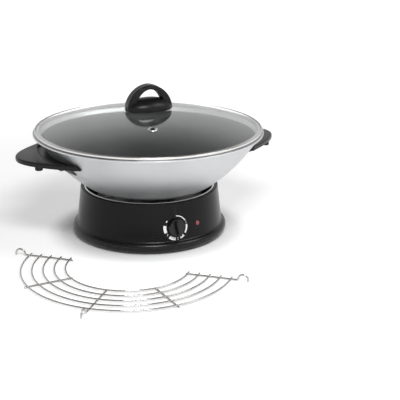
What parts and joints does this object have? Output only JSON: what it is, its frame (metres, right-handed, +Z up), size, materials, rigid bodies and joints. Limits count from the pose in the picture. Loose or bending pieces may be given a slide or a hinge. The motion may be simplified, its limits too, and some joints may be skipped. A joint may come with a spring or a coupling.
{
  "type": "electric wok",
  "caption": "Countertop electric wok: round heated base with dial and lamp, lift-off bowl with two side handles, glass lid with arched knob, and a half-round draining rack.",
  "frame": {"origin": "middle of the bottom cover's flat underside, 3 mm above the table that the rubber feet and the rack stand on", "axes": "+Z up along the bowl's axis, -Y to the front where the dial is, X through the two handles of the bowl"},
  "size_m": [0.4666, 0.493, 0.2408],
  "materials": {
    "black_plastic": "fine satin black moulding",
    "handle_plastic": "satin charcoal moulding",
    "rubber": "matt black",
    "bright_steel": "polished",
    "zinc_steel": "zinc plated",
    "black_steel": "black enamelled",
    "brass": "bare",
    "element_sheath": "dark oxidised sheath",
    "silver_coating": "satin silver outside, dark non-stick inside",
    "spreader_alloy": "machined face",
    "clear_glass": "clear",
    "red_lens": "clear red",
    "red_insulation": "matt",
    "blue_insulation": "matt",
    "white_plastic": "plain white, also the printed scale"
  },
  "bodies": {
    "base": {"base_shell": "black_plastic", "bottom_cover": "black_plastic", "thermostat_body": "black_plastic", "lamp_holder": "black_plastic", "cord_gland": "black_plastic", "foot_1": "rubber", "foot_2": "rubber", "foot_3": "rubber", "foot_4": "rubber", "reflector_bowl": "bright_steel", "sensor_guide": "bright_steel", "heating_element": "element_sheath", "element_clip_1": "zinc_steel", "element_clip_2": "zinc_steel", "element_clip_3": "zinc_steel", "sensor_spring": "zinc_steel", "tie_screw_1": "zinc_steel", "tie_screw_2": "zinc_steel", "tie_screw_3": "zinc_steel", "tie_nut_1": "zinc_steel", "tie_nut_2": "zinc_steel", "tie_nut_3": "zinc_steel", "thermal_fuse": "zinc_steel", "thermostat_nut": "brass", "lamp_lens": "red_lens", "terminal_block": "white_plastic", "lead_block_to_thermostat": "red_insulation", "lead_fuse_to_element": "red_insulation", "lead_block_to_lamp": "red_insulation", "lead_thermostat_to_fuse": "blue_insulation", "lead_element_to_block": "blue_insulation"},
    "dial": {"dial_knob": "black_plastic", "thermostat_shaft": "zinc_steel"},
    "sensor": {"sensor_cap": "bright_steel"},
    "pan": {"pan": "silver_coating", "pan_spreader": "spreader_alloy", "handle_left": "handle_plastic", "handle_right": "handle_plastic", "handle_bracket_left": "black_steel", "handle_bracket_right": "black_steel", "handle_screw_left_1": "zinc_steel", "handle_screw_left_2": "zinc_steel", "handle_screw_right_1": "zinc_steel", "handle_screw_right_2": "zinc_steel"},
    "lid": {"lid_glass": "clear_glass", "lid_band": "bright_steel", "vent_eyelet": "bright_steel", "knob_screw": "bright_steel", "knob": "handle_plastic", "knob_washer": "rubber"},
    "rack": {"rack": "bright_steel"}
  },
  "joints": [
    {"name": "pan_lift", "type": "slide", "parent": "base", "child": "pan", "axis": [0, 0, 1], "range_m": [0, 0.15]},
    {"name": "lid_lift", "type": "slide", "parent": "pan", "child": "lid", "axis": [0, 0, 1], "range_m": [0, 0.12]},
    {"name": "dial_turn", "type": "hinge", "parent": "base", "child": "dial", "pos_m": [0, -0.11523, 0.037], "axis": [0, 0.9937, -0.1117], "range_deg": [0, 290]},
    {"name": "sensor_press", "type": "slide", "parent": "base", "child": "sensor", "axis": [0, 0, 1], "range_m": [-0.003, 0], "stiffness_N_per_m": 500, "springref_m": 0.002, "deforming": ["sensor_spring"]},
    {"name": "rack_lift", "type": "slide", "parent": "base", "child": "rack", "axis": [0, 0, 1], "range_m": [0, 0.1]}
  ]
}
